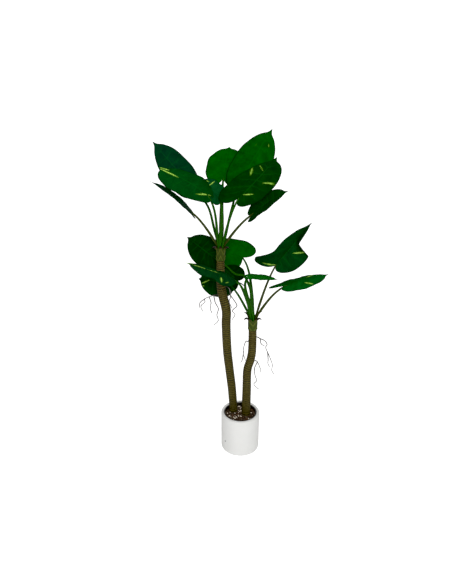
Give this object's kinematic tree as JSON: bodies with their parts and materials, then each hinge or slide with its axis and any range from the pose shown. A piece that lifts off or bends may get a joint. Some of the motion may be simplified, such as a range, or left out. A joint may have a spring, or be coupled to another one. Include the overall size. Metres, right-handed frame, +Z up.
{
  "type": "potted pothos plant",
  "caption": "Tall house plant in a plain white cylindrical planter: ringed canes with crowns of glossy heart-shaped leaves on long stalks and thin hanging aerial roots.",
  "frame": {"origin": "centre of the planter's flat underside, where it stands on the floor", "axes": "+Z up along the planter's axis; -Y towards the front of the plant as pictured; +X to the viewer's right"},
  "size_m": [0.6716, 0.318, 1.374],
  "materials": {
    "pot_white": "matte",
    "liner_black": "satin",
    "soil_dark": "matte",
    "cane_bark": "matte",
    "sheath_papery": "matte",
    "leaf_bright": "satin",
    "leaf_deep": "satin",
    "root_grey": "matte"
  },
  "bodies": {
    "root": {"pot": "pot_white", "nursery_liner": "liner_black", "soil": "soil_dark", "cane_tall": "cane_bark", "cane_short": "cane_bark", "sheath_tall": "sheath_papery", "sheath_short": "sheath_papery", "leaf_tall_back_left": "leaf_deep", "leaf_tall_front_left": "leaf_bright", "leaf_tall_front_small": "leaf_deep", "leaf_tall_top": "leaf_bright", "leaf_tall_top_right": "leaf_bright", "leaf_tall_front_right": "leaf_deep", "leaf_tall_low_right": "leaf_bright", "leaf_tall_low_left": "leaf_deep", "leaf_short_back_left": "leaf_deep", "leaf_short_behind": "leaf_bright", "leaf_short_front_left": "leaf_deep", "leaf_short_low_left": "leaf_deep", "leaf_short_back_small": "leaf_deep", "leaf_short_level": "leaf_bright", "leaf_short_right": "leaf_bright", "leaf_short_low_right": "leaf_bright", "aerial_roots_tall_left": "root_grey", "aerial_roots_tall_right": "root_grey", "aerial_roots_short_left": "root_grey", "aerial_roots_short_right": "root_grey", "aerial_roots_short_low": "root_grey"}
  },
  "joints": []
}
